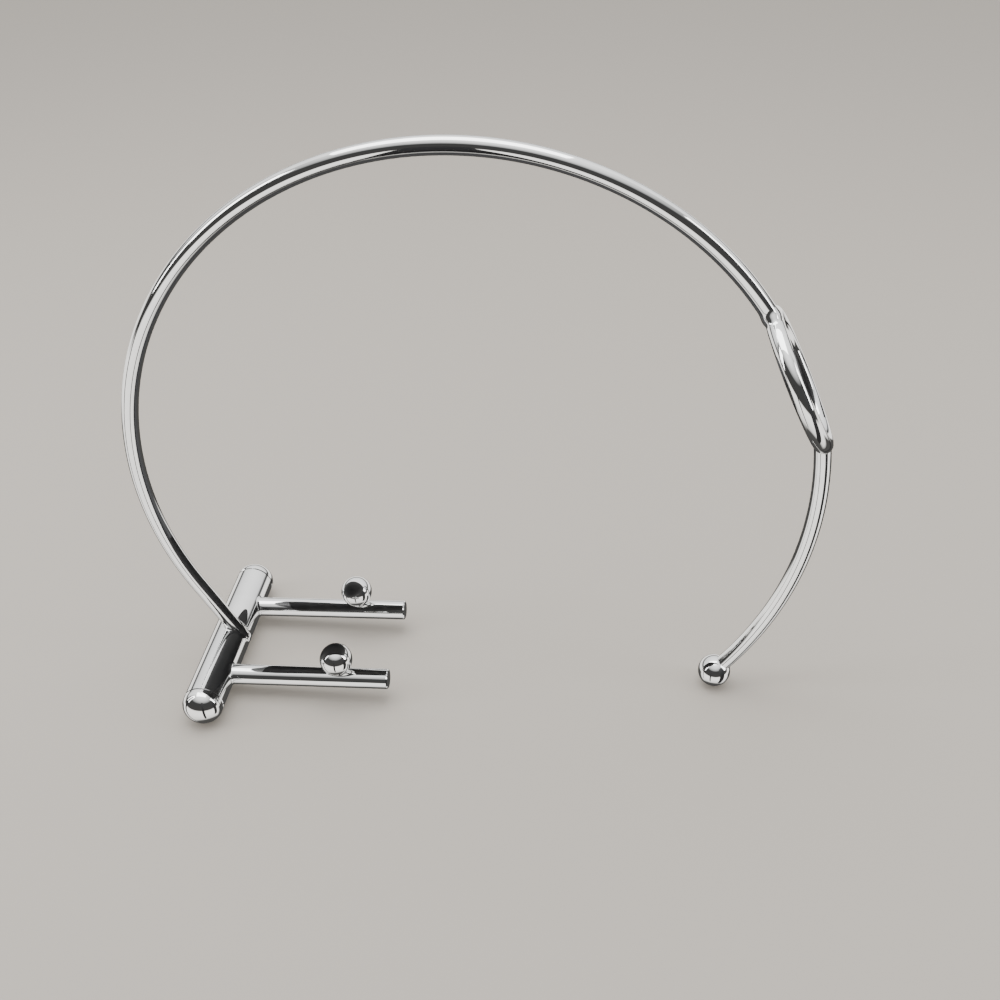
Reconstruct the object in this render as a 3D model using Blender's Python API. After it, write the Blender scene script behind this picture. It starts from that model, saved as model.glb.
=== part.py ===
"""Chrome server that cradles a bottle, nose up, inside a round wire hoop.

A short crossbar tube lies on the table and carries two forward prongs, each with a rest ball on top.
The hoop rod rises from the crossbar, sweeps over and ends on the neck ring, and the leg rod runs from
the ring back down to the foot ball.  Metres, +Z up, +X towards the foot, +Y to the rear; the origin is
the middle of the bounding box, on the table.
"""
import math

import bmesh
import bpy
import numpy as np

# Driving dimensions.  Distances along X are measured from the crossbar's axis.
GAP = 0.0003                 # clearance left between two pieces that touch
BEAD = 0.0012                # how far a weld bead stands off the two pieces it joins
REST_BEAD = 0.0010           # the same under the rest balls
ROD_R = 0.00375              # radius of the hoop, ring and leg rods
HOOP_X, HOOP_Z = 0.1258, 0.1171
HOOP_R = 0.1537
HOOP_TOP_DEG = 33.9          # where the hoop meets the neck ring
HOOP_FOOT_DEG = 207.3        # where its round stretch turns straight
HOOP_TAIL = 0.0434           # length of the straight tail let into the crossbar
RING_R = 0.029
RING_TILT_DEG = 27.8         # the bottle's lean
LEG_R = 0.1789
FOOT_X = 0.2504
BALL_R = 0.008
TUBE_R, TUBE_WALL, TUBE_HALF = 0.00975, 0.0015, 0.0455
CAP_LIP, CAP_DOME, CAP_PLUG = 0.0012, 0.0082, 0.009
CAP_DOME_DEG = (0, 15, 30, 45, 60, 72, 82)   # where the dome's circles stand, up to its small flat tip
PLUG_CHAMFER = 0.0005
PRONG_R, PRONG_Y = 0.005, 0.0255
PRONG_START, PRONG_END = 0.003, 0.0882
PRONG_RISE_DEG = 2.4
PRONG_CHAMFER = 0.0005
REST_X, REST_LIFT = 0.063, 0.0125   # rest ball: place along the prong, height over its axis
STUD_R, STUD_GRIP = 0.002, 0.008    # stud: radius, length held in the rod above the foot ball
STUD_DEPTH = 0.002           # how far a stud passes its ball's centre, and a rest stud its prong's axis
ROD_SIDES, STUD_SIDES, PRONG_SIDES, TUBE_SIDES = 16, 12, 24, 32
HOOP_STEPS, RING_STEPS, LEG_STEPS = 80, 40, 24
BALL_SEGMENTS, BALL_RINGS = 24, 12

# The ring hangs from the hoop's end, square to the bottle, and the leg's arc starts at its lowest point.
tilt = math.radians(RING_TILT_DEG)
top = math.radians(HOOP_TOP_DEG)
RING_UP = np.array([-math.sin(tilt), 0.0, math.cos(tilt)])
RING_TOP = np.array([HOOP_X + HOOP_R * math.cos(top), 0.0, HOOP_Z + HOOP_R * math.sin(top)])
RING_CENTRE = RING_TOP - RING_R * RING_UP
RING_FOOT = RING_TOP - 2 * RING_R * RING_UP
FOOT = np.array([FOOT_X, 0.0, BALL_R])
chord = FOOT - RING_FOOT
half = np.linalg.norm(chord) / 2
inward = np.array([chord[2], 0.0, -chord[0]]) / (2 * half)
LEG_CENTRE = (RING_FOOT + FOOT) / 2 + inward * math.sqrt(LEG_R ** 2 - half ** 2)

# The bounding box is centred on the origin.
LEFT = HOOP_X - HOOP_R - ROD_R
RIGHT = LEG_CENTRE[0] + LEG_R + ROD_R
SHIFT = np.array([-(LEFT + RIGHT) / 2, 0.0, 0.0])

Y_AXIS = np.array([0.0, 1.0, 0.0])


def clear_scene():
    for old in list(bpy.data.objects):
        bpy.data.objects.remove(old, do_unlink=True)


def metal(name, color, roughness):
    material = bpy.data.materials.new(name)
    material.use_nodes = True
    shader = material.node_tree.nodes["Principled BSDF"]
    shader.inputs["Base Color"].default_value = (*color, 1.0)
    shader.inputs["Metallic"].default_value = 1.0
    shader.inputs["Roughness"].default_value = roughness
    return material


def add_object(name, points, faces, material):
    """A mesh object with its faces pointing out, smooth except at its sharp edges."""
    mesh = bpy.data.meshes.new(name)
    mesh.from_pydata((np.asarray(points) + SHIFT).tolist(), [], faces)
    shape = bmesh.new()
    shape.from_mesh(mesh)
    bmesh.ops.recalc_face_normals(shape, faces=shape.faces)
    shape.to_mesh(mesh)
    shape.free()
    mesh.shade_smooth()
    mesh.set_sharp_from_angle(angle=math.radians(35))
    if material:
        mesh.materials.append(material)
    piece = bpy.data.objects.new(name, mesh)
    bpy.context.collection.objects.link(piece)
    return piece


def as_cutter(piece):
    piece.hide_render = True
    piece.display_type = 'WIRE'
    return piece


def combine(piece, other, operation='DIFFERENCE'):
    change = piece.modifiers.new(f"{operation.lower()}_{other.name}", 'BOOLEAN')
    change.operation = operation
    change.object = other
    change.solver = 'EXACT'


def sweep(name, path, across, radii, material=None, sides=ROD_SIDES, closed=False, phase=0.0):
    """Circles of the given radii at the path's points, each spanned by the two rows of across.  A phase of
    one half turns each circle by half a side, so that it has flats where it had corners."""
    turn = 2 * math.pi * (np.arange(sides) + phase) / sides
    first, second = across
    rounds = first[:, None, :] * np.cos(turn)[:, None] + second[:, None, :] * np.sin(turn)[:, None]
    points = path[:, None, :] + rounds * np.asarray(radii)[:, None, None]
    count = len(path)
    faces = []
    for i in range(count if closed else count - 1):
        here, there = i * sides, ((i + 1) % count) * sides
        for j in range(sides):
            k = (j + 1) % sides
            faces.append((here + j, here + k, there + k, there + j))
    if not closed:
        faces.append(tuple(range(sides)))
        faces.append(tuple(range((count - 1) * sides, count * sides)))
    return add_object(name, points.reshape(-1, 3), faces, material)


def straight(name, start, end, radius, material=None, chamfer=0.0, sides=ROD_SIDES):
    """A round bar from start to end, its end faces chamfered if asked."""
    start, end = np.asarray(start, float), np.asarray(end, float)
    along = (end - start) / np.linalg.norm(end - start)
    first = np.cross(along, Y_AXIS if abs(along[1]) < 0.9 else np.array([1.0, 0.0, 0.0]))
    first /= np.linalg.norm(first)
    path, radii = [start, end], [radius, radius]
    if chamfer:
        path = [start, start + along * chamfer, end - along * chamfer, end]
        radii = [radius - chamfer, radius, radius, radius - chamfer]
    across = (np.tile(first, (len(path), 1)), np.tile(np.cross(along, first), (len(path), 1)))
    return sweep(name, np.array(path), across, radii, material, sides)


def planar_rod(name, path, headings, radius, material=None):
    """A rod whose centreline stays in the hoop's plane; headings are its unit tangents."""
    across = (np.cross(Y_AXIS, headings), np.tile(Y_AXIS, (len(path), 1)))
    return sweep(name, path, across, np.full(len(path), radius), material)


def arc(centre, radius, start_deg, end_deg, steps):
    """Points and unit tangents of an arc in the hoop's plane."""
    turn = np.radians(np.linspace(start_deg, end_deg, steps + 1))
    out = np.stack([np.cos(turn), 0 * turn, np.sin(turn)], axis=1)
    sense = 1.0 if end_deg > start_deg else -1.0
    headings = sense * np.stack([-np.sin(turn), 0 * turn, np.cos(turn)], axis=1)
    return np.asarray(centre) + radius * out, headings


def ball(name, centre, radius, material=None):
    """A sphere with its poles above and below its centre."""
    drop = math.pi * np.arange(1, BALL_RINGS) / BALL_RINGS
    turn = 2 * math.pi * np.arange(BALL_SEGMENTS) / BALL_SEGMENTS
    rounds = np.stack([np.outer(np.sin(drop), np.cos(turn)), np.outer(np.sin(drop), np.sin(turn)),
                       np.outer(np.cos(drop), np.ones(BALL_SEGMENTS))], axis=2).reshape(-1, 3)
    points = np.vstack([rounds, [[0, 0, 1], [0, 0, -1]]]) * radius + np.asarray(centre)
    north, south = len(rounds), len(rounds) + 1
    last = (BALL_RINGS - 2) * BALL_SEGMENTS
    faces = []
    for j in range(BALL_SEGMENTS):
        k = (j + 1) % BALL_SEGMENTS
        faces.append((north, j, k))
        faces.append((south, last + k, last + j))
        for i in range(BALL_RINGS - 2):
            a, b = i * BALL_SEGMENTS, (i + 1) * BALL_SEGMENTS
            faces.append((a + j, b + j, b + k, a + k))
    return add_object(name, points, faces, material)


def crosswise(name, profile, material=None, hollow=False):
    """Turns (radius, y) pairs about the crossbar's axis.  The radii are to the flats, one of which faces
    down, so that the tube rests on it."""
    radii, places = np.array(profile).T
    path = np.stack([0 * places, places, np.full(len(places), TUBE_R)], axis=1)
    across = (np.tile([1.0, 0.0, 0.0], (len(path), 1)), np.tile([0.0, 0.0, 1.0], (len(path), 1)))
    return sweep(name, path, across, radii / math.cos(math.pi / TUBE_SIDES), material, TUBE_SIDES,
                 closed=hollow, phase=0.5)


# Bodies that are needed at more than one size: as the piece itself, and grown as a cutter.

def make_hoop(name, grow=0.0, material=None):
    round_part, headings = arc((HOOP_X, 0.0, HOOP_Z), HOOP_R, HOOP_TOP_DEG, HOOP_FOOT_DEG,
                               HOOP_STEPS)
    tip = round_part[-1] + headings[-1] * (HOOP_TAIL + grow)
    return planar_rod(name, np.vstack([round_part, tip]), np.vstack([headings, headings[-1]]),
                      ROD_R + grow, material)


def make_ring(name, grow=0.0, material=None):
    clear_of_hoop = 0.37         # of a step: no circle of the ring may lie in the hoop's own plane
    turn = 2 * math.pi * (np.arange(RING_STEPS) + clear_of_hoop) / RING_STEPS
    out = RING_UP * np.cos(turn)[:, None] + Y_AXIS * np.sin(turn)[:, None]
    axis = np.tile(np.cross(RING_UP, Y_AXIS), (len(turn), 1))
    return sweep(name, RING_CENTRE + RING_R * out, (out, axis), np.full(len(turn), ROD_R + grow),
                 material, closed=True)


def make_leg(name, grow=0.0, material=None):
    ends = [math.degrees(math.atan2(p[2] - LEG_CENTRE[2], p[0] - LEG_CENTRE[0])) for p in (RING_FOOT, FOOT)]
    path, headings = arc(LEG_CENTRE, LEG_R, ends[0], ends[1], LEG_STEPS)
    return planar_rod(name, path, headings, ROD_R + grow, material)


def prong_point(x, side):
    return np.array([x, side * PRONG_Y, TUBE_R + x * math.tan(math.radians(PRONG_RISE_DEG))])


def rest_centre(side):
    return prong_point(REST_X, side) + np.array([0.0, 0.0, REST_LIFT])


def make_prong(name, side, grow=0.0, material=None):
    return straight(name, prong_point(PRONG_START - grow, side), prong_point(PRONG_END, side),
                    PRONG_R + grow, material, 0.0 if grow else PRONG_CHAMFER, PRONG_SIDES)


def make_tube_bar(name, grow):
    return crosswise(name, [(TUBE_R + grow, -TUBE_HALF), (TUBE_R + grow, TUBE_HALF)])


def bead(name, one, other, one_gap, other_gap, material):
    """A weld bead: what both grown bodies share, less the bodies themselves and their clearance."""
    one.name = name
    one.data.materials.clear()
    one.data.materials.append(material)
    combine(one, as_cutter(other), 'INTERSECT')
    combine(one, one_gap)
    combine(one, other_gap)


clear_scene()
chrome = metal("polished_chrome", (0.84, 0.85, 0.84), 0.05)
weld = metal("plated_weld", (0.80, 0.81, 0.80), 0.12)
steel = metal("plain_steel", (0.55, 0.56, 0.57), 0.35)

# Crossbar: a tube drilled for the prongs and notched for the hoop's tail, plugged by domed caps.
tube = crosswise("crossbar_tube", [(TUBE_R, -TUBE_HALF), (TUBE_R, TUBE_HALF),
                                   (TUBE_R - TUBE_WALL, TUBE_HALF), (TUBE_R - TUBE_WALL, -TUBE_HALF)],
                 chrome, hollow=True)
tube_gap = as_cutter(make_tube_bar("cut_tube_gap", GAP))
for side, word in ((-1, "front"), (1, "rear")):
    seat = TUBE_HALF + GAP
    dome = [(TUBE_R * math.cos(a), seat + CAP_LIP + CAP_DOME * math.sin(a))
            for a in np.radians(CAP_DOME_DEG)]
    plug = TUBE_R - TUBE_WALL - GAP
    outline = [(plug - PLUG_CHAMFER, seat - CAP_PLUG), (plug, seat - CAP_PLUG + PLUG_CHAMFER),
               (plug, seat), (TUBE_R, seat)] + dome
    crosswise(f"{word}_end_cap", [(r, side * y) for r, y in outline], chrome)

# Hoop: one bent rod from the neck ring to its straight tail in the crossbar's notch.
hoop = make_hoop("hoop_rod", material=chrome)
hoop_gap = as_cutter(make_hoop("cut_hoop_gap", GAP))
ring_gap = as_cutter(make_ring("cut_ring_gap", GAP))
combine(hoop, ring_gap)
combine(tube, hoop_gap)
bead("hoop_weld", make_hoop("hoop_bead", BEAD), make_tube_bar("cut_tube_bead", BEAD), hoop_gap, tube_gap, weld)

# Neck ring: a closed ring of the same rod, square to the bottle.
make_ring("neck_ring", material=chrome)
bead("ring_top_weld", make_hoop("top_bead", BEAD), make_ring("cut_top_bead", BEAD), hoop_gap, ring_gap, weld)

# Leg: an arc of rod from the ring down to the foot ball, which a stud holds.
leg = make_leg("leg_rod", material=chrome)
leg_gap = as_cutter(make_leg("cut_leg_gap", GAP))
bead("ring_foot_weld", make_leg("foot_bead", BEAD), make_ring("cut_foot_bead", BEAD), leg_gap, ring_gap, weld)
up_leg = np.array([LEG_CENTRE[2] - FOOT[2], 0.0, FOOT[0] - LEG_CENTRE[0]]) / LEG_R
stud_low, stud_high = FOOT - up_leg * STUD_DEPTH, FOOT + up_leg * (BALL_R + STUD_GRIP)
foot_bore = as_cutter(straight("cut_foot_bore", stud_low - up_leg * GAP, stud_high + up_leg * GAP,
                               STUD_R + GAP, sides=STUD_SIDES))
foot = ball("foot_ball", FOOT, BALL_R, chrome)
combine(leg, ring_gap)
combine(leg, as_cutter(ball("cut_foot_ball", FOOT, BALL_R + GAP)))
combine(leg, foot_bore)
combine(foot, foot_bore)
straight("foot_stud", stud_low, stud_high, STUD_R, steel, sides=STUD_SIDES)

# Prongs: two bars let into the crossbar, each with a rest ball seated and pinned on top.
for side, word in ((-1, "front"), (1, "rear")):
    prong = make_prong(f"{word}_prong", side, material=chrome)
    prong_gap = as_cutter(make_prong(f"cut_{word}_prong_gap", side, GAP))
    combine(tube, prong_gap)
    bead(f"{word}_prong_weld", make_prong(f"{word}_prong_bead", side, BEAD),
         make_tube_bar(f"cut_{word}_tube_bead", BEAD), prong_gap, tube_gap, weld)

    centre = rest_centre(side)
    rest = ball(f"{word}_rest_ball", centre, BALL_R, chrome)
    rest_gap = as_cutter(ball(f"cut_{word}_rest_gap", centre, BALL_R + GAP))
    combine(rest, prong_gap)
    bead(f"{word}_rest_weld", ball(f"{word}_rest_bead", centre, BALL_R + REST_BEAD),
         make_prong(f"cut_{word}_rest_bead", side, REST_BEAD), rest_gap, prong_gap, weld)

    up = np.array([0.0, 0.0, 1.0])
    low, high = centre - up * (REST_LIFT + STUD_DEPTH), centre + up * STUD_DEPTH
    bore = as_cutter(straight(f"cut_{word}_rest_bore", low - up * GAP, high + up * GAP, STUD_R + GAP,
                              sides=STUD_SIDES))
    combine(rest, bore)
    combine(prong, rest_gap)
    combine(prong, bore)
    straight(f"{word}_rest_stud", low, high, STUD_R, steel, sides=STUD_SIDES)
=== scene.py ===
"""Chromed bottle server: a round wire hoop with a tilted neck ring, a leg on a ball foot, and a tubular
crossbar with two prongs that carry the rest balls.  Every visible piece is a smooth surface worked out on
a grid, at the places that the frame's solids give."""
import math

import bmesh
import bpy
import numpy as np
from mathutils import Matrix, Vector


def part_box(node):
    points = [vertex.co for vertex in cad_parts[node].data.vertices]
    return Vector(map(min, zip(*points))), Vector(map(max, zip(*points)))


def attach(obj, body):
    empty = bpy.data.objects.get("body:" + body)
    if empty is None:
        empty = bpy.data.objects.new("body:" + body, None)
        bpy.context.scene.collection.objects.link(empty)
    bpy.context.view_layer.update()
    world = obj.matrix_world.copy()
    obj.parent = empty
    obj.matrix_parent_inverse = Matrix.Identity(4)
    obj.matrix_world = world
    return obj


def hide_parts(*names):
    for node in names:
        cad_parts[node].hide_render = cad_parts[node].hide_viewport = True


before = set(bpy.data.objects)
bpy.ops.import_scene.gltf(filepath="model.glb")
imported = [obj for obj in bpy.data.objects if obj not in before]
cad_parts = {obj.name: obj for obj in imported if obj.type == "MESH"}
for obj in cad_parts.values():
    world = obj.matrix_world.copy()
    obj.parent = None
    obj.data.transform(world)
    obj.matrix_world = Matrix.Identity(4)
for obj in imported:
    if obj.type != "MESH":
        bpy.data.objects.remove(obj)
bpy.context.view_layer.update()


# Crossbar.  A length of thin-walled steel tube that lies on the table, polished and plated with the rest.
# The prongs and the hoop's tail are let into its side, and its ends are open until the caps go in.
SIDE = np.array([0.0, 1.0, 0.0])
SHARP_EDGE = math.radians(32)


def corners(node):
    """A solid's lowest and highest corners."""
    return [np.array(corner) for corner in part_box(node)]


def unit(vectors):
    """Each vector divided by its own length."""
    return vectors / np.linalg.norm(vectors, axis=-1, keepdims=True)


def full_turn(count):
    """Angles evenly spaced round a circle, one to a row."""
    return np.linspace(0, 2 * math.pi, count, endpoint=False)[:, None]


def skin(name, rows, loop=False):
    """A mesh over rows of points.  Each row closes on itself.  With loop the last row joins the first;
    otherwise each end is closed by a fan to the middle of its row."""
    count, around = rows.shape[:2]
    i, j = np.meshgrid(np.arange(count if loop else count - 1), np.arange(around), indexing="ij")
    near, far, step = i * around, (i + 1) % count * around, (j + 1) % around
    faces = np.stack([near + j, near + step, far + step, far + j], axis=-1).reshape(-1, 4).tolist()
    points = rows.reshape(-1, 3)
    if not loop:
        points = np.vstack([points, rows[0].mean(axis=0), rows[-1].mean(axis=0)])
        first, last, edge = count * around, count * around + 1, (count - 1) * around
        faces += [(first, (k + 1) % around, k) for k in range(around)]
        faces += [(last, edge + k, edge + (k + 1) % around) for k in range(around)]
    mesh = bpy.data.meshes.new(name)
    mesh.from_pydata(points.tolist(), [], faces)
    shell = bmesh.new()
    shell.from_mesh(mesh)
    bmesh.ops.recalc_face_normals(shell, faces=shell.faces)
    shell.to_mesh(mesh)
    shell.free()
    mesh.shade_smooth()
    mesh.set_sharp_from_angle(angle=SHARP_EDGE)
    piece = bpy.data.objects.new(name, mesh)
    bpy.context.scene.collection.objects.link(piece)
    return piece


def turned(name, radii, places, start, axis, sides=96, loop=False):
    """Circles about a straight axis: row k has radius radii[k] and stands places[k] along the axis."""
    axis = unit(np.asarray(axis, float))
    across = unit(np.cross(axis, SIDE if abs(axis[1]) < 0.9 else [1.0, 0.0, 0.0]))
    turn = full_turn(sides)
    spokes = across * np.cos(turn) + np.cross(axis, across) * np.sin(turn)
    rows = np.asarray(radii)[:, None, None] * spokes + np.asarray(places)[:, None, None] * axis
    return skin(name, rows + np.asarray(start, float), loop)


def remapped(tree, value, low, high, new_low=0.0, new_high=1.0):
    """A value that runs from low to high, made to run from new_low to new_high and kept between them."""
    span = tree.nodes.new("ShaderNodeMapRange")
    for socket, number in (("From Min", low), ("From Max", high), ("To Min", new_low), ("To Max", new_high)):
        span.inputs[socket].default_value = number
    tree.links.new(value, span.inputs["Value"])
    return span.outputs["Result"]


def blended(tree, share, first, second):
    """A colour that share takes from first to second.  Each may be a colour or another node's output."""
    mix = tree.nodes.new("ShaderNodeMix")
    mix.data_type = 'RGBA'
    share_socket, first_socket, second_socket, result_socket = 0, 6, 7, 2
    for socket, value in ((share_socket, share), (first_socket, first), (second_socket, second)):
        if isinstance(value, tuple):
            mix.inputs[socket].default_value = value
        else:
            tree.links.new(value, mix.inputs[socket])
    return mix.outputs[result_socket]


def chrome(name, tint, haze, ripple, grain=0.0):
    """Mirror chrome.  The roughness drifts from haze to twice haze in soft clouds, and the tint darkens a
    little in finer ones.  Ripple is the height in metres of the slow waves left by polishing, and grain is
    the height of a fine pebbling on plated welds."""
    haze_clouds, tint_clouds, ripple_waves, grain_pebbles = 55.0, 140.0, 60.0, 1400.0     # per metre
    darkest = 0.93
    material = bpy.data.materials.new(name)
    material.use_nodes = True
    tree = material.node_tree
    nodes, links = tree.nodes, tree.links
    shader = nodes["Principled BSDF"]
    shader.inputs["Metallic"].default_value = 1.0
    place = nodes.new("ShaderNodeTexCoord")

    def noise(scale, detail):
        texture = nodes.new("ShaderNodeTexNoise")
        texture.inputs["Scale"].default_value = scale
        texture.inputs["Detail"].default_value = detail
        links.new(place.outputs["Object"], texture.inputs["Vector"])
        return texture.outputs["Fac"]

    def clouds(scale, detail, low, high):
        return remapped(tree, noise(scale, detail), 0.3, 0.7, low, high)

    links.new(clouds(haze_clouds, 4.0, haze, 2 * haze), shader.inputs["Roughness"])
    dark_tint = tuple(darkest * channel for channel in tint)
    tone = blended(tree, clouds(tint_clouds, 6.0, 0.0, 1.0), (*tint, 1.0), (*dark_tint, 1.0))
    links.new(tone, shader.inputs["Base Color"])

    normal = None
    for height, scale, detail in ((ripple, ripple_waves, 1.0), (grain, grain_pebbles, 3.0)):
        if height:
            bump = nodes.new("ShaderNodeBump")
            bump.inputs["Strength"].default_value = 1.0
            bump.inputs["Distance"].default_value = height
            links.new(noise(scale, detail), bump.inputs["Height"])
            if normal:
                links.new(normal, bump.inputs["Normal"])
            normal = bump.outputs["Normal"]
    links.new(normal, shader.inputs["Normal"])
    return material


def finish(piece, material, slot, *nodes):
    """Gives a piece its material, and sets it on the frame in place of some solids.  The slot is not used.
    """
    piece.data.materials.append(material)
    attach(piece, "root")
    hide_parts(*nodes)


tube_chrome = chrome("tube_chrome", (0.87, 0.875, 0.87), 0.022, 0.00004)
tube_low, tube_high = corners("crossbar_tube")
tube_middle = (tube_low + tube_high) / 2
tube_radius = (tube_high[2] - tube_low[2]) / 2
tube_half = (tube_high[1] - tube_low[1]) / 2
tube_wall = 0.0015
tube_bore = tube_radius - tube_wall
tube_edge = 0.0003                     # the small chamfer at each end
tube_end = tube_radius - tube_edge
tube_radii = [tube_end, tube_radius, tube_radius, tube_end, tube_bore, tube_bore]
tube_places = [-tube_half, tube_edge - tube_half, tube_half - tube_edge, tube_half, tube_half, -tube_half]
finish(turned("crossbar", tube_radii, tube_places, tube_middle, SIDE, loop=True),
       tube_chrome, "chrome", "crossbar_tube")


# End caps.  Each is a turned steel plug with a domed head, pressed into the tube's end and plated.
# Its short lip stands level with the tube, so that only a fine dark line shows where the two meet.
cap_chrome = chrome("cap_chrome", (0.88, 0.88, 0.87), 0.018, 0.00003)
cap_lip = 0.0012
cap_edge = 0.0002
cap_gap = 0.0003                       # clearance between a cap and the tube
plug_radius = tube_bore - cap_gap
plug_chamfer = 0.0005
dome_rise = np.linspace(0, math.pi / 2, 28)[:-1]
dome_last = math.radians(89.4)
for word, way in (("front", -1), ("rear", 1)):
    low, high = corners(f"{word}_end_cap")
    depth = high[1] - low[1]
    seat = abs(tube_middle[1] + way * tube_half) + cap_gap
    tip = max(abs(low[1]), abs(high[1]))
    dome = tip - seat - cap_lip
    cap_radii = [plug_radius - plug_chamfer, plug_radius, plug_radius, tube_radius - cap_edge, tube_radius,
                 *(tube_radius * np.cos(dome_rise)), tube_radius * math.cos(dome_last)]
    cap_places = [tip - depth, tip - depth + plug_chamfer, seat, seat, seat + cap_edge,
                  *(seat + cap_lip + dome * np.sin(dome_rise)), tip]
    cap = turned(f"{word}_cap", cap_radii, cap_places, [tube_middle[0], 0, tube_middle[2]], SIDE * way)
    finish(cap, cap_chrome, "chrome", f"{word}_end_cap")


# Neck ring.  A closed ring of the same round rod as the hoop, tilted square to the bottle's neck.
# It is bent round and butt welded where the hoop's end covers the joint.
rod_chrome = chrome("rod_chrome", (0.87, 0.875, 0.87), 0.02, 0.00003)
rod_radius = 0.00375
ring_low, ring_high = corners("neck_ring")
ring_centre = (ring_low + ring_high) / 2
ring_radius = (ring_high[1] - ring_low[1]) / 2 - rod_radius
ring_rise = (ring_high[2] - ring_low[2]) / 2 - rod_radius
ring_tilt = math.acos(min(1.0, ring_rise / ring_radius))
ring_up = np.array([-math.sin(ring_tilt), 0.0, math.cos(ring_tilt)])
ring_axis = np.cross(ring_up, SIDE)


def hooped(spokes, axis, centre, radius):
    """A rod bent round a circle: centre + spoke * radius is its centreline, and each section is a circle
    in the plane of its spoke and the circle's axis."""
    turn = full_turn(48)
    section = spokes[:, None, :] * np.cos(turn) + axis * np.sin(turn)
    return centre + spokes[:, None, :] * radius + section * rod_radius


ring_turn = full_turn(256)
ring_spokes = ring_up * np.cos(ring_turn) + SIDE * np.sin(ring_turn)
finish(skin("bottle_neck_ring", hooped(ring_spokes, ring_axis, ring_centre, ring_radius), loop=True),
       rod_chrome, "chrome", "neck_ring")


# Hoop.  One length of round rod, bent to most of a circle with a straight tail.
# Its upper end is coped to sit on the ring, and its rounded tail lies in a notch in the crossbar.
hoop_bend = 0.1537
hoop_end_turn = math.radians(207.3)
tail_length = 0.0434
nose_flat = 0.03                       # the nose ends on a flat, this share of the rod's radius
hoop_low, hoop_high = corners("hoop_rod")
hoop_centre = np.array([hoop_low[0] + rod_radius + hoop_bend, 0.0, hoop_high[2] - rod_radius - hoop_bend])
ring_top = ring_centre + ring_up * ring_radius
to_ring = ring_top - hoop_centre


def upright_spokes(start, end, count):
    """Unit vectors in the hoop's plane that turn evenly from one angle to another."""
    turn = np.linspace(start, end, count)
    return np.stack([np.cos(turn), 0 * turn, np.sin(turn)], axis=1)


hoop_spokes = upright_spokes(math.atan2(to_ring[2], to_ring[0]), hoop_end_turn, 420)
tail_heading = np.cross(hoop_spokes[-1], SIDE)
tail_start = hoop_centre + hoop_spokes[-1] * hoop_bend

bend_rows = hooped(hoop_spokes, SIDE, hoop_centre, hoop_bend)
section = bend_rows[-1] - tail_start
straight_places = np.linspace(0, tail_length - rod_radius, 24)[1:]
straight_rows = tail_start + section + straight_places[:, None, None] * tail_heading
nose = np.linspace(0, math.pi / 2, 14)[1:, None, None]
nose_rows = (tail_start + section * np.cos(nose).clip(nose_flat)
             + (tail_length - rod_radius * (1 - np.sin(nose))) * tail_heading)
finish(skin("hoop", np.concatenate([bend_rows, straight_rows, nose_rows])), rod_chrome, "chrome", "hoop_rod")


# Leg.  A second length of the rod, bent to a wider arc, runs from the bottom of the ring to the table.
# It ends on a solid steel ball, bored for the stud that holds it.
leg_bend = 0.1789
foot_low, foot_high = corners("foot_ball")
ball_radius = (foot_high[2] - foot_low[2]) / 2
foot_centre = (foot_low + foot_high) / 2
ring_foot = ring_centre - ring_up * ring_radius
leg_chord = foot_centre - ring_foot
leg_inward = unit(np.array([leg_chord[2], 0.0, -leg_chord[0]]))
leg_depth = math.sqrt(leg_bend ** 2 - (np.linalg.norm(leg_chord) / 2) ** 2)
leg_centre = (ring_foot + foot_centre) / 2 + leg_inward * leg_depth
leg_start, leg_end = (math.atan2(*(end - leg_centre)[[2, 0]]) for end in (ring_foot, foot_centre))
leg_spokes = upright_spokes(leg_start, leg_end, 180)
finish(skin("leg", hooped(leg_spokes, SIDE, leg_centre, leg_bend)), rod_chrome, "chrome", "leg_rod")

ball_chrome = chrome("ball_chrome", (0.88, 0.885, 0.88), 0.016, 0.00002)


def globe(name, centre):
    """A sphere as circles about the vertical, evenly spaced from pole to pole."""
    fall = np.linspace(0, math.pi, 66)[1:-1]
    return turned(name, ball_radius * np.sin(fall), ball_radius * np.cos(fall), centre, [0, 0, 1])


finish(globe("ball_foot", foot_centre), ball_chrome, "chrome", "foot_ball")


# Ring joints.  The hoop and the leg are brazed to the ring, and the joints are dressed smooth before
# plating, so that each is a soft hollow that runs out onto both rods.
weld_chrome = chrome("weld_chrome", (0.85, 0.855, 0.85), 0.03, 0.00005, grain=0.000004)
sink = 0.00002                         # the braze's edges lie this far inside the metal
collar_swell = 0.0005
collar_wrap = math.radians(84)         # how far round the ring each collar's oval reaches
collar_crease = 0.10                   # keeps the hollow off the line where the two rods meet
collar_steps = 17


def round_bar(start, axis, radius, length=math.inf):
    """The nearest points on a straight bar's surface, and the normals there.  Past its length the bar is
    closed by half a ball."""
    def nearest(points):
        foot = start + ((points - start) @ axis).clip(None, length)[..., None] * axis
        normals = unit(points - foot)
        return foot + normals * radius, normals
    return nearest


def round_ring(centre, axis, bend):
    """The same for the rod where it is bent to a circle."""
    def nearest(points):
        flat = points - centre - ((points - centre) @ axis)[..., None] * axis
        foot = centre + unit(flat) * bend
        normals = unit(points - foot)
        return foot + normals * rod_radius, normals
    return nearest


def bowed(starts, pulls, ends, steps):
    """Parabolas from starts to ends that head for pulls, one to a row."""
    way = np.linspace(0, 1, steps)[None, :, None]
    return (starts[:, None] * (1 - way) ** 2 + 2 * pulls[:, None] * way * (1 - way)
            + ends[:, None] * way ** 2)


on_ring = round_ring(ring_centre, ring_axis, ring_radius)


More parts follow.
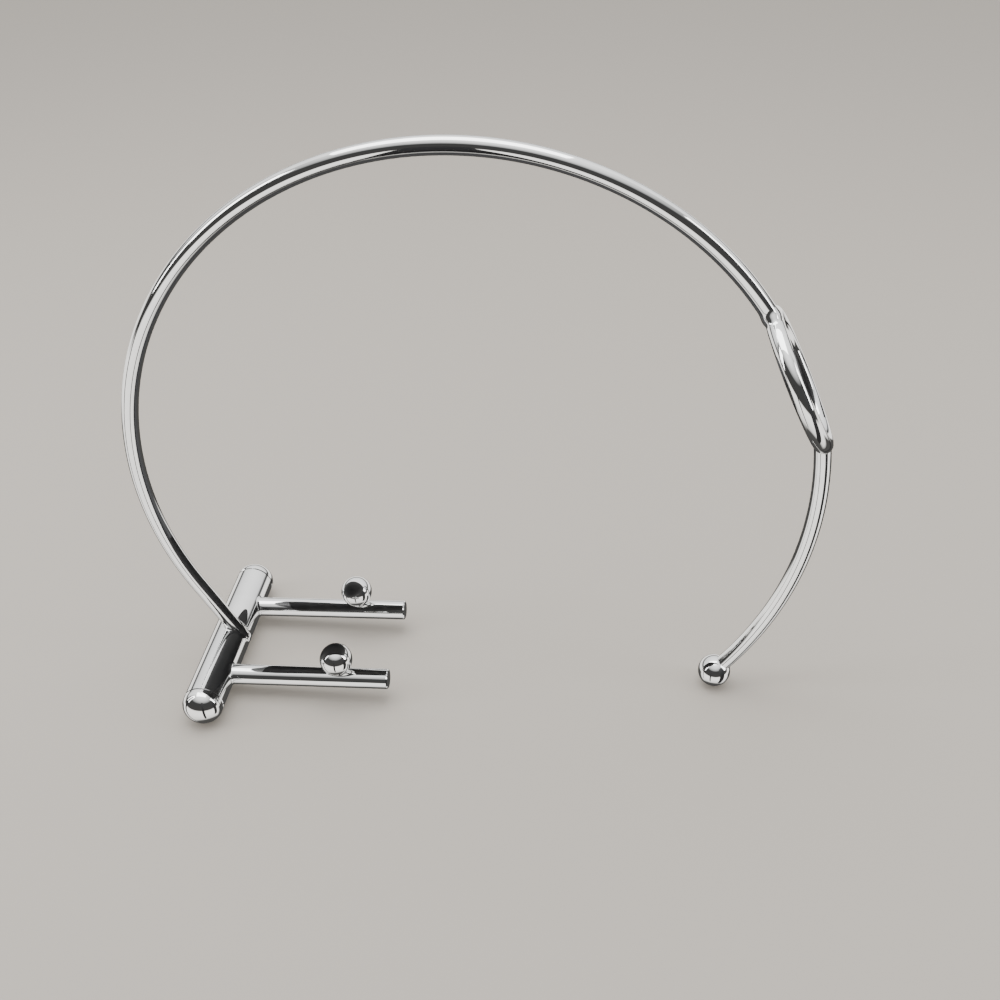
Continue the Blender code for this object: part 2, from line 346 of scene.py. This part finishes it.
def rod_collar(name, joint, heading, on_rod, reach, node):
    """The hollow between a rod's end and the ring.  It starts on a circle round the rod, beyond the ring's
    own thickness, and ends on an oval that lies on the ring: long along it, and half way round it.  Between
    the two it stands out from the metal by the swell, most in the middle and nothing at its edges."""
    turn = full_turn(120)
    lateral = np.cross(heading, SIDE)
    spokes = lateral * np.cos(turn) + SIDE * np.sin(turn)
    high, high_normals = on_rod(joint + spokes * rod_radius + heading * (rod_radius + reach))
    wrap = collar_wrap * np.cos(turn)
    oval = joint + SIDE * np.sin(turn) * (rod_radius + reach)
    oval = oval + rod_radius * (lateral * np.sin(wrap) + heading * np.cos(wrap))
    low, low_normals = on_ring(oval)
    crease = np.sqrt(np.sin(turn) ** 2 + collar_crease) * rod_radius
    pulls = on_rod(joint + spokes * rod_radius + heading * crease)[0]
    hollow = bowed(high - sink * high_normals, pulls, low - sink * low_normals, collar_steps)
    way = np.linspace(0, 1, collar_steps)[None, :, None]
    hollow = hollow + collar_swell * np.sin(math.pi * way) ** 2 * unit(high_normals + low_normals)[:, None]
    core = joint + spokes * rod_radius * 0.5 + heading * rod_radius * 0.4
    rows = np.concatenate([hollow, core[:, None]], axis=1)
    finish(skin(name, rows, loop=True), weld_chrome, "weld", node)


rod_collar("hoop_joint", ring_top, unit(hoop_spokes[1] - hoop_spokes[0]),
           round_ring(hoop_centre, SIDE, hoop_bend), 0.0040, "ring_top_weld")
rod_collar("leg_joint", ring_foot, unit(leg_spokes[1] - leg_spokes[0]),
           round_ring(leg_centre, SIDE, leg_bend), 0.0030, "ring_foot_weld")


# Crossbar joint.  The hoop's tail lies in its notch, with a bead of braze all the way round it, from where
# the rod enters the tube to the round nose that shows on the prongs' side.
def seam(name, path, on_first, on_second, reach, node):
    """A fillet along the closed line where two surfaces meet.  The path is first drawn onto that line.  Then
    each section leaves one surface at its reach from the line, bows in towards the line and runs out onto
    the other, and it closes through a point sunk in the metal."""
    rounds, least_spare, core_share = 40, 0.05, 0.3
    for _ in range(rounds):
        (first, first_normal), (second, second_normal) = on_first(path), on_second(path)
        from_first = ((path - first) * first_normal).sum(axis=1, keepdims=True)
        from_second = ((path - second) * second_normal).sum(axis=1, keepdims=True)
        lean = (first_normal * second_normal).sum(axis=1, keepdims=True)
        spare = (1 - lean ** 2).clip(least_spare)
        path = path - ((from_first - lean * from_second) * first_normal
                       + (from_second - lean * from_first) * second_normal) / spare
    along = np.roll(path, -1, axis=0) - np.roll(path, 1, axis=0)
    edges = []
    for here, there, on_here in ((first_normal, second_normal, on_first),
                                 (second_normal, first_normal, on_second)):
        away = unit(np.cross(here, along))
        away = away * np.sign((away * there).sum(axis=1, keepdims=True))
        place, normal = on_here(path + away * reach)
        edges.append(place - sink * normal)
    core = path - unit(first_normal + second_normal) * reach * core_share
    rows = np.concatenate([bowed(edges[0], path, edges[1], 11), core[:, None]], axis=1)
    finish(skin(name, rows, loop=True), weld_chrome, "weld", node)


on_tube = round_bar(tube_middle, SIDE, tube_radius)
offset = tail_start - tube_middle
offset = offset - (offset @ tail_heading) * tail_heading
stand_off = np.linalg.norm(offset)
outward = offset / stand_off
entry_swing = -math.acos((stand_off - rod_radius) / tube_radius)
nose_swing = math.radians(35.6)
around = full_turn(200)
swing = (nose_swing + entry_swing) / 2 + (nose_swing - entry_swing) / 2 * np.cos(around)
bead_guess = (tube_middle + tube_radius * (np.cos(swing) * outward + np.sin(swing) * tail_heading)
              + 0.9 * rod_radius * np.sin(around) * SIDE)
on_tail = round_bar(tail_start, tail_heading, rod_radius, tail_length - rod_radius)
seam("hoop_bead", bead_guess, on_tail, on_tube, 0.0016, "hoop_weld")


# Prongs.  Two solid bars are let into the crossbar and rise a little as they come forward.
# Each has a small chamfer on its flat end, and a bead of braze where it enters the tube.
bar_chrome = chrome("bar_chrome", (0.87, 0.875, 0.87), 0.02, 0.00003)
prong_chamfer = 0.0005
prong_start = 0.003
prong_rise = math.radians(2.4)
prong_axis = np.array([math.cos(prong_rise), 0.0, math.sin(prong_rise)])
prong_up = np.cross(SIDE, prong_axis)
prong_low, prong_high = corners("front_prong")
prong_radius = (prong_high[1] - prong_low[1]) / 2
prong_reach = (prong_high[0] - tube_middle[0]) / prong_axis[0]
prong_shoulder = prong_radius - prong_chamfer


def prong_root(word):
    """Where a prong's axis crosses the crossbar's."""
    low, high = corners(f"{word}_prong")
    return np.array([tube_middle[0], (low[1] + high[1]) / 2, tube_middle[2]])


for word in ("front", "rear"):
    root = prong_root(word)
    radii = [prong_shoulder, *np.full(31, prong_radius), prong_shoulder, prong_shoulder * 0.5]
    places = [prong_start, prong_start + prong_chamfer,
              *np.linspace(prong_start + 2 * prong_chamfer, prong_reach - prong_chamfer, 30),
              prong_reach, prong_reach]
    prong = turned(f"prong_{word}", radii, places, root, prong_axis, 80)
    finish(prong, bar_chrome, "chrome", f"{word}_prong")

    around = full_turn(140)
    bead_guess = (root + 0.92 * tube_radius * prong_axis
                  + prong_radius * (SIDE * np.cos(around) + prong_up * np.sin(around)))
    seam(f"prong_bead_{word}", bead_guess, round_bar(root, prong_axis, prong_radius), on_tube, 0.0013,
         f"{word}_prong_weld")


# Rest balls.  A solid ball sits on each prong, pinned and brazed.  The bottle's belly lies on the two.
# The braze draws up round the ball's underside into a low collar, longest along the prong.
def round_ball(centre):
    """The nearest points on a ball, and the normals there."""
    def nearest(points):
        normals = unit(points - centre)
        return centre + normals * ball_radius, normals
    return nearest


for word in ("front", "rear"):
    low, high = corners(f"{word}_rest_ball")
    centre = np.array([(low[0] + high[0]) / 2, (low[1] + high[1]) / 2, high[2] - ball_radius])
    finish(globe(f"rest_{word}", centre), ball_chrome, "chrome", f"{word}_rest_ball")

    root = prong_root(word)
    perch = root + ((centre - root) @ prong_axis) * prong_axis
    around = full_turn(120)
    seat_guess = (perch + prong_radius * unit(centre - perch)
                  + 0.0028 * np.cos(around) * prong_axis + 0.0017 * np.sin(around) * SIDE)
    seam(f"rest_collar_{word}", seat_guess, round_ball(centre), round_bar(root, prong_axis, prong_radius),
         0.0030, f"{word}_rest_weld")


# Studs.  Plain steel pins hold the balls.  They are out of sight inside the joints and keep their turned
# finish, so each stays as the frame gives it.
pin_steel = chrome("pin_steel", (0.55, 0.56, 0.57), 0.16, 0.00002, grain=0.00001)
for node in ("foot_stud", "front_rest_stud", "rear_rest_stud"):
    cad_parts[node].data.materials.clear()
    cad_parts[node].data.materials.append(pin_steel)


# Table.  A plain pale matt top, wide enough that its edge is never near the object.
# It is left out of the reflections, because chrome that mirrors it all round has no dark lines left.
def flat_card(name, points):
    """An object with one four-sided face."""
    mesh = bpy.data.meshes.new(name)
    mesh.from_pydata([tuple(point) for point in points], [], [(0, 1, 2, 3)])
    card = bpy.data.objects.new(name, mesh)
    bpy.context.scene.collection.objects.link(card)
    return card


def matt(name, color, roughness):
    """A plain dull surface and its shader."""
    material = bpy.data.materials.new(name)
    material.use_nodes = True
    shader = material.node_tree.nodes["Principled BSDF"]
    shader.inputs["Base Color"].default_value = (*color, 1.0)
    shader.inputs["Roughness"].default_value = roughness
    return material, shader


table_half = 12.0
table_top = flat_card("table_top", [(-table_half, -table_half, 0), (table_half, -table_half, 0),
                                    (table_half, table_half, 0), (-table_half, table_half, 0)])
table_top.visible_glossy = False
pale_table, table_shader = matt("pale_table", (0.42, 0.387, 0.345), 0.7)
table_shader.inputs["Specular IOR Level"].default_value = 0.1
table_top.data.materials.append(pale_table)


# Room.  The eye sees plain grey beyond the table.  The chrome has a room of its own to reflect: bright
# overhead, dark level with the eye, bright again below, and dark straight down where a table would be.
world = bpy.data.worlds.new("room")
bpy.context.scene.world = world
world.use_nodes = True
room = world.node_tree
view = room.nodes.new("ShaderNodeTexCoord")
direction = room.nodes.new("ShaderNodeSeparateXYZ")
room.links.new(view.outputs["Generated"], direction.inputs["Vector"])


def wall(stops):
    """The brightness of one side of the room, from straight down (height -1) to straight up (height 1).
    What lies below the object is tinted warm, as its table is."""
    ramp = room.nodes.new("ShaderNodeValToRGB")
    room.links.new(remapped(room, direction.outputs["Z"], -1.0, 1.0), ramp.inputs["Fac"])
    bands = ramp.color_ramp.elements
    for height, _ in stops[1:-1]:
        bands.new((height + 1) / 2)
    for band, (height, level) in zip(bands, stops):
        warmth = (1.0, 0.975, 0.94) if height < 0 else (1.0, 1.0, 1.0)
        band.color = (*(level * channel for channel in warmth), 1.0)
    return ramp.outputs["Color"]


near_wall = wall(((-1.0, 0.04), (-0.93, 0.05), (-0.85, 0.60), (-0.60, 0.85), (-0.22, 0.90), (-0.12, 0.03),
                  (0.53, 0.03), (1.0, 0.95)))
far_wall = wall(((-1.0, 0.04), (-0.44, 0.04), (-0.36, 0.80), (-0.06, 0.80), (0.02, 0.05), (0.14, 0.05),
                 (0.26, 0.60), (1.0, 0.95)))
reflected = blended(room, remapped(room, direction.outputs["Y"], 0.05, 0.22), near_wall, far_wall)
ray = room.nodes.new("ShaderNodeLightPath")
beyond_table = (0.24, 0.235, 0.225, 1.0)
background = room.nodes["Background"]
seen = blended(room, ray.outputs["Is Camera Ray"], reflected, beyond_table)
room.links.new(seen, background.inputs["Color"])
background.inputs["Strength"].default_value = 2.2


# Panels.  Three soft lights, one overhead and one to each side.
# They lift the table, and lay a soft shadow under the crossbar and the foot.
def panel(name, place, aim, width, height, power):
    """A soft light panel that faces the point it is aimed at."""
    light = bpy.data.lights.new(name, 'AREA')
    light.shape = 'RECTANGLE'
    light.size, light.size_y, light.energy = width, height, power
    lamp = bpy.data.objects.new(name, light)
    away = unit(np.array(place) - np.array(aim))
    right = unit(np.cross(SIDE if abs(away[2]) > 0.95 else [0.0, 0.0, 1.0], away))
    turn = np.stack([right, np.cross(away, right), away], axis=1)
    lamp.matrix_world = Matrix.Translation(place) @ Matrix(turn.tolist()).to_4x4()
    bpy.context.scene.collection.objects.link(lamp)


panel("overhead", (-0.15, 0.15, 1.30), (0, 0, 0.1), 1.2, 0.8, 12.0)
panel("left", (-1.10, -0.25, 0.65), (0, 0, 0.12), 0.35, 0.9, 6.0)
panel("right", (1.10, -0.10, 0.60), (0, 0, 0.12), 0.30, 0.8, 4.0)


# Props.  Black cards stand round the object, and a dark dummy lies where a bottle would.
# They show in the chrome and nowhere else, and give upright rods their dark edges.
flag_black, _ = matt("flag_black", (0.01, 0.01, 0.012), 0.6)
flag_distance = 0.40
flag_low, flag_high = -0.55, 0.30


def only_reflected(prop):
    """Makes a prop black, and hides it from all but reflections."""
    prop.data.materials.append(flag_black)
    prop.visible_camera = prop.visible_diffuse = prop.visible_shadow = prop.visible_transmission = False


for number, (degrees, width) in enumerate(((-100, 0.07), (-28, 0.17), (-165, 0.05), (28, 0.06))):
    turn = math.radians(degrees)
    middle = flag_distance * np.array([math.cos(turn), math.sin(turn), 0.0])
    half = 0.5 * width * np.array([-math.sin(turn), math.cos(turn), 0.0])
    foot, head = np.array([0, 0, flag_low]), np.array([0, 0, flag_high])
    only_reflected(flat_card(f"flag_{number}", [middle - half + foot, middle + half + foot,
                                                middle + half + head, middle - half + head]))

dummy_radii = [0.0145, 0.0145, 0.016, 0.026, 0.035, 0.0375, 0.0375, 0.035, 0.02]
dummy_places = [-0.06, 0.02, 0.04, 0.06, 0.08, 0.105, 0.28, 0.288, 0.29]
only_reflected(turned("dummy", dummy_radii, dummy_places, ring_centre, ring_axis))


# Camera.  It stands in front of the object and a little to the right, and looks down on the table.
camera_data = bpy.data.cameras.new("camera")
camera_data.lens = 39.0
camera_data.sensor_width = 36.0
camera = bpy.data.objects.new("camera", camera_data)
camera_fall = 36.14
camera.matrix_world = (Matrix.Translation((0.0531, -0.4004, 0.4019))
                       @ Matrix.Rotation(math.radians(5.59), 4, 'Z')
                       @ Matrix.Rotation(math.radians(90 - camera_fall), 4, 'X')
                       @ Matrix.Rotation(math.radians(-0.51), 4, 'Z'))
bpy.context.scene.collection.objects.link(camera)
bpy.context.scene.camera = camera
